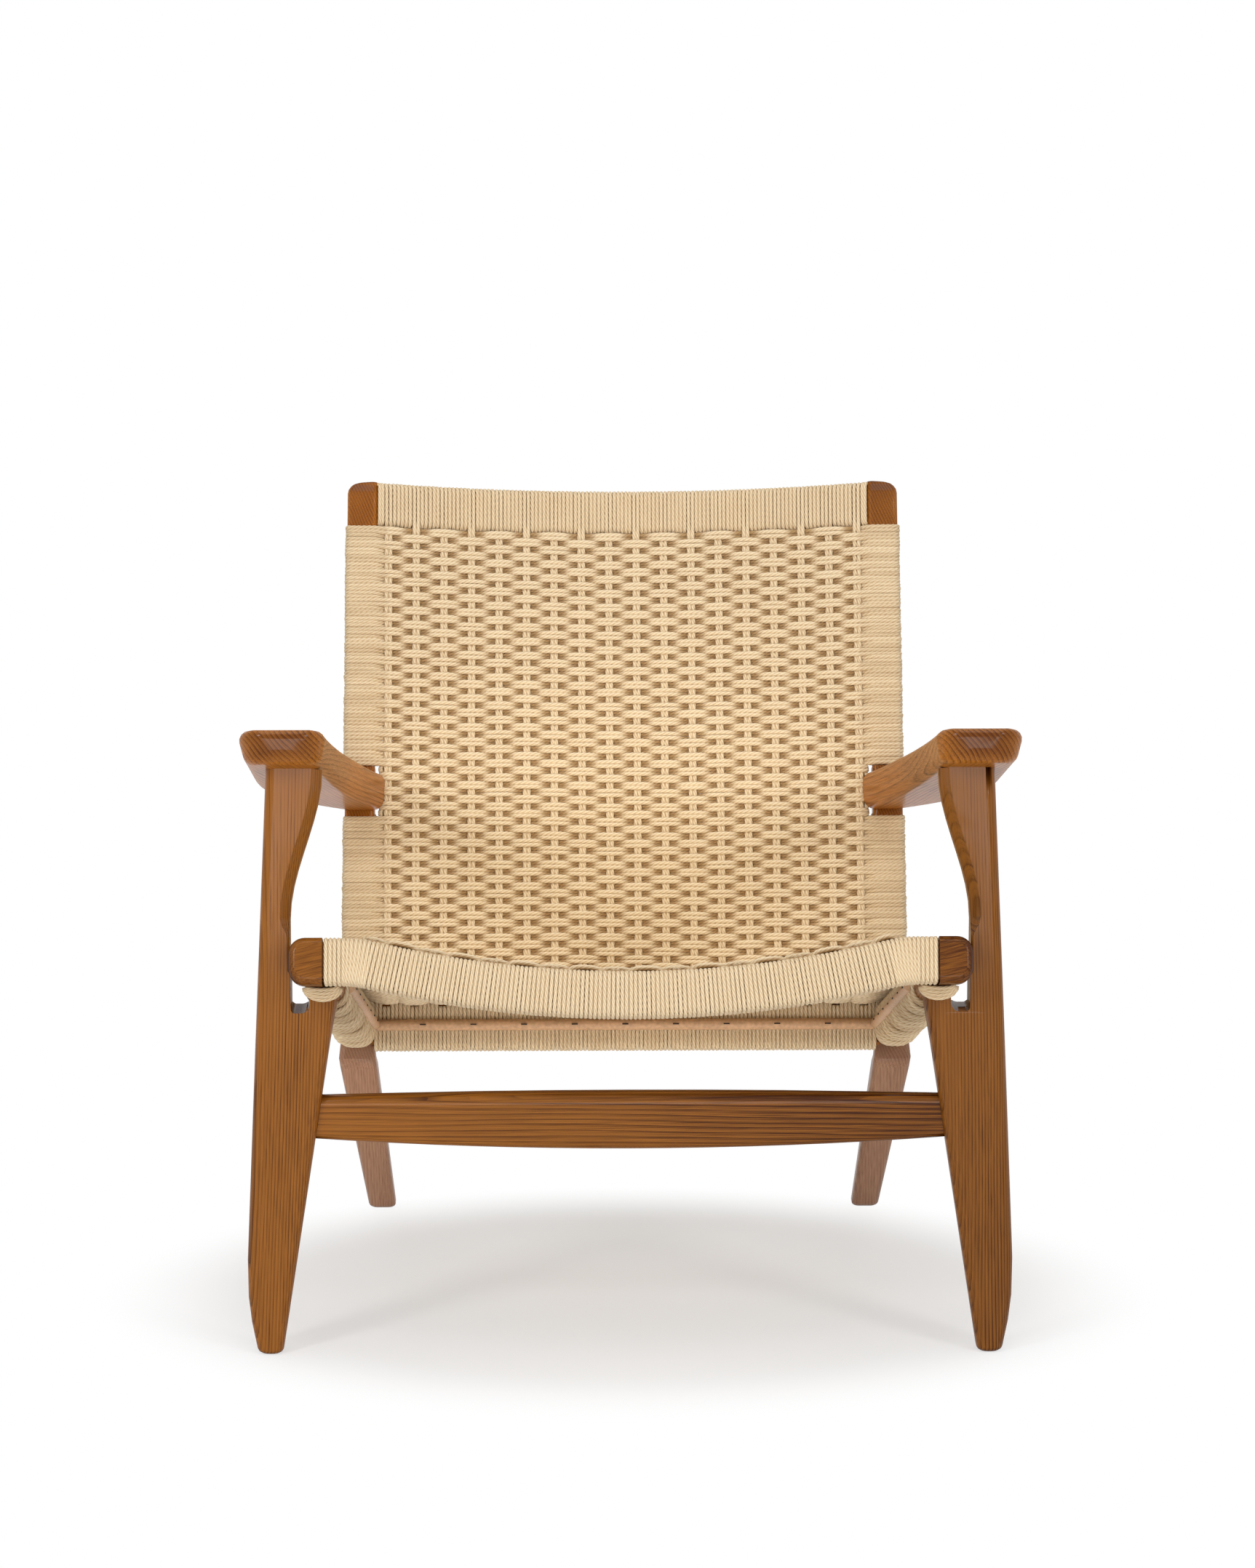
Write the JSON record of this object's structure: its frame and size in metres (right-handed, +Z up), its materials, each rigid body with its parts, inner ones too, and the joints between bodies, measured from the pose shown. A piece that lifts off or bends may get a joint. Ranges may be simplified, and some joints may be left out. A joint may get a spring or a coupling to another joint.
{
  "type": "armchair",
  "caption": "Low wooden armchair with a reclined back, slotted front legs, sloping armrests, and a seat and back woven in paper cord.",
  "frame": {"origin": "on the floor, midway between left and right and midway between the frontmost and rearmost points of the chair", "axes": "+Z up, -Y is the way the chair faces, +X is to the right as seen from the front"},
  "size_m": [0.7116, 0.74, 0.7301],
  "materials": {
    "walnut": "dark stained wood, semi-gloss lacquer",
    "paper_cord": "twisted natural paper cord, matte",
    "batten": "pale unstained wood",
    "dowel": "plain beech",
    "staple": "dark steel wire"
  },
  "bodies": {
    "root": {"front_leg_left": "walnut", "front_leg_right": "walnut", "rear_leg_left": "walnut", "rear_leg_right": "walnut", "armrest_left": "walnut", "armrest_right": "walnut", "front_stretcher": "walnut", "seat_front_rail": "walnut", "seat_side_rail_left": "walnut", "seat_side_rail_right": "walnut", "seat_rear_rail": "walnut", "back_top_rail": "walnut", "back_bottom_rail": "walnut", "seat_weave": "paper_cord", "back_weave": "paper_cord", "seat_front_winding": "paper_cord", "seat_rear_winding": "paper_cord", "seat_side_winding_left": "paper_cord", "seat_side_winding_right": "paper_cord", "back_top_winding": "paper_cord", "back_bottom_winding": "paper_cord", "back_side_winding_left": "paper_cord", "back_side_winding_right": "paper_cord", "front_batten": "batten", "rear_batten": "batten", "side_batten_left": "batten", "side_batten_right": "batten", "batten_staples": "staple", "front_rail_dowels": "dowel", "leg_rail_dowels": "dowel", "armrest_front_dowels": "dowel", "armrest_rear_dowels": "dowel", "side_rail_dowels": "dowel", "rear_rail_dowels": "dowel", "back_rail_dowels": "dowel"}
  },
  "joints": []
}
